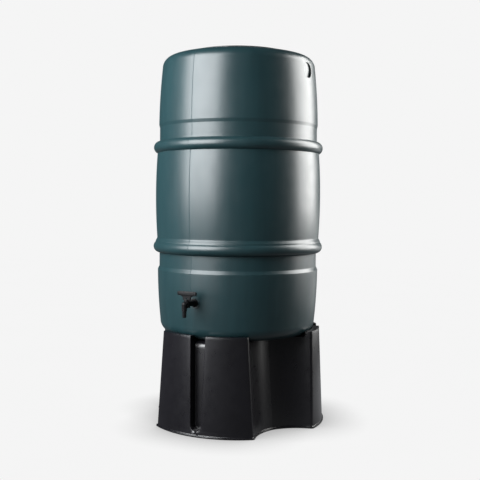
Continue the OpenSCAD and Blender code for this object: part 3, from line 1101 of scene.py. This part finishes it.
def make_light(name, turn, away, height, width, tall, power, color, aim_z):
    """A soft rectangular light at an angle from the camera's direction, facing the barrel."""
    data = bpy.data.lights.new(name, "AREA")
    data.shape = "RECTANGLE"
    data.size = width
    data.size_y = tall
    data.energy = power
    data.color = color
    light = bpy.data.objects.new(name, data)
    bpy.context.scene.collection.objects.link(light)
    a = math.radians(CAMERA_TURN + turn)
    light.location = Vector((math.sin(a) * away, -math.cos(a) * away, height))
    aim = Vector((0, 0, aim_z)) - light.location
    light.rotation_euler = aim.to_track_quat("-Z", "Y").to_euler()
    return light


def make_world():
    """A pale surround for the camera and the floor, and a dimmer one for reflections."""
    world = bpy.data.worlds.new("world")
    bpy.context.scene.world = world
    world.use_nodes = True
    tree = world.node_tree
    tree.nodes.clear()
    out = tree.nodes.new("ShaderNodeOutputWorld")
    seen = tree.nodes.new("ShaderNodeBackground")
    seen.inputs[0].default_value = WHITE
    dim = tree.nodes.new("ShaderNodeBackground")
    dim.inputs[0].default_value = (0.9, 0.95, 1.0, 1)
    dim.inputs[1].default_value = WORLD_DIM
    path = tree.nodes.new("ShaderNodeLightPath")
    mix = tree.nodes.new("ShaderNodeMixShader")
    tree.links.new(path.outputs["Is Camera Ray"], mix.inputs[0])
    tree.links.new(dim.outputs[0], mix.inputs[1])
    tree.links.new(seen.outputs[0], mix.inputs[2])
    tree.links.new(mix.outputs[0], out.inputs[0])


def floor_paint():
    """White ground: the camera sees it evenly bright with a soft contact shadow. Reflections see it dimmer,
    with a glow on one side."""
    m = Nodes("floor_paint")
    near = m.add("ShaderNodeAmbientOcclusion", samples=12)
    near.inputs["Distance"].default_value = 0.16
    shade = m.spread(near.outputs["AO"], 0.50, 1.0, 0.45, 1.0)
    cloud = m.spread(m.noise(2.0), 0.996, 1.0, 0.3, 0.7)
    both = m.add("ShaderNodeMath", operation="MULTIPLY")
    m.link(shade, both.inputs[0])
    m.link(cloud, both.inputs[1])
    seen = m.add("ShaderNodeEmission")
    seen.inputs["Color"].default_value = WHITE
    m.link(both.outputs[0], seen.inputs["Strength"])
    other = m.add("ShaderNodeEmission")
    other.inputs["Color"].default_value = (0.95, 0.97, 1.0, 1)
    a = math.radians(CAMERA_TURN + POOL_TURN)
    away = m.add("ShaderNodeVectorMath", operation="DISTANCE")
    away.inputs[1].default_value = (math.sin(a) * POOL_AWAY, -math.cos(a) * POOL_AWAY, 0)
    m.link(m.place, away.inputs[0])
    m.link(m.spread(away.outputs["Value"], POOL_BRIGHT, POOL_DIM, 0.25, 0.85), other.inputs["Strength"])
    path = m.add("ShaderNodeLightPath")
    mix = m.add("ShaderNodeMixShader")
    m.link(path.outputs["Is Camera Ray"], mix.inputs[0])
    m.link(other.outputs[0], mix.inputs[1])
    m.link(seen.outputs[0], mix.inputs[2])
    m.link(mix.outputs[0], m.out.inputs[0])
    m.tree.nodes.remove(m.shader)
    return m.mat


def make_floor():
    """The ground."""
    bm = bmesh.new()
    bmesh.ops.create_grid(bm, x_segments=4, y_segments=4, size=6)
    floor = new_object("floor", bm)
    give(floor, floor_paint())


def make_stage():
    """The surround, ground, camera and lights."""
    bpy.context.scene.view_settings.view_transform = "Standard"
    make_world()
    make_floor()
    make_camera()
    # degrees from the camera, distance, height, width, tallness, watts, colour, height aimed at
    make_light("left_soft", -51, 1.9, 1.52, 1.78, 1.84, 156, COOL, 0.9)
    edge = make_light("left_edge", -98, 1.7, 1.2, 0.7, 1.9, 62, COOL, 0.8)
    edge.visible_glossy = False
    make_light("right_soft", 105, 1.7, 1.36, 1.3, 1.66, 80, WARM, 0.9)
    make_light("right_low", 115, 1.7, 0.35, 1.9, 0.6, 4.2, WARM, 0.4)
    make_light("left_low", -52, 1.7, 0.35, 0.8, 0.6, 1.6, (0.97, 0.97, 1.0), 0.3)
    make_light("back_glow", 180, 2.0, 1.9, 1.0, 0.6, 3.0, (1.0, 1.0, 1.0), 1.1)


# ---------- build ----------

def stand_in(pieces, mat, body, node):
    """Gives new pieces their material and body, and puts them in the place of a CAD node."""
    for piece in pieces:
        give(piece, mat)
        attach(piece, body)
        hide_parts(node)


make_stage()
green = green_plastic()
black_stand = black_plastic("black_stand", (0.0019, 0.0017, 0.0027, 1), (0.0034, 0.0031, 0.0046, 1),
                            rough=(0.26, 0.33), grain_size=900.0, grain=0.04, specular=0.6)
black_tap = black_plastic("black_tap", (0.0040, 0.0040, 0.0046, 1), (0.0065, 0.0065, 0.0074, 1),
                          rough=(0.42, 0.52), grain_size=1400.0, grain=0.08, specular=0.18)
black_lid = black_plastic("black_lid", (0.0040, 0.0040, 0.0046, 1), (0.0070, 0.0070, 0.0078, 1),
                          rough=(0.18, 0.26), grain_size=1400.0, grain=0.04, specular=0.5)
rubber = black_plastic("rubber", (0.008, 0.008, 0.008, 1), (0.012, 0.012, 0.012, 1),
                       rough=(0.6, 0.7), grain_size=1800.0, grain=0.12, specular=0.3)
screw_steel = steel()

stand_in([make_barrel()], green, "barrel", "barrel")
stand_pieces = [make_stand()] + [make_web(60 * k) for k in range(6)]
stand_in(stand_pieces, black_stand, "stand", "stand")
stand_in([make_lid(), make_grip()], black_lid, "lid", "lid")
stand_in([make_tap_body()], black_tap, "barrel", "tap_body")
stand_in([make_handle()], black_tap, "tap_key", "tap_handle")
stand_in([make_washer()], rubber, "barrel", "tap_washer_outer")
stand_in([make_back_nut()], black_tap, "barrel", "tap_back_nut")
stand_in([make_screw()], screw_steel, "tap_key", "plug_screw")

for node, mat in (("tap_plug", black_tap), ("plug_seal_upper", rubber), ("plug_seal_lower", rubber),
                  ("plug_washer", black_tap), ("tap_washer_inner", rubber)):
    give(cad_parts[node], mat)
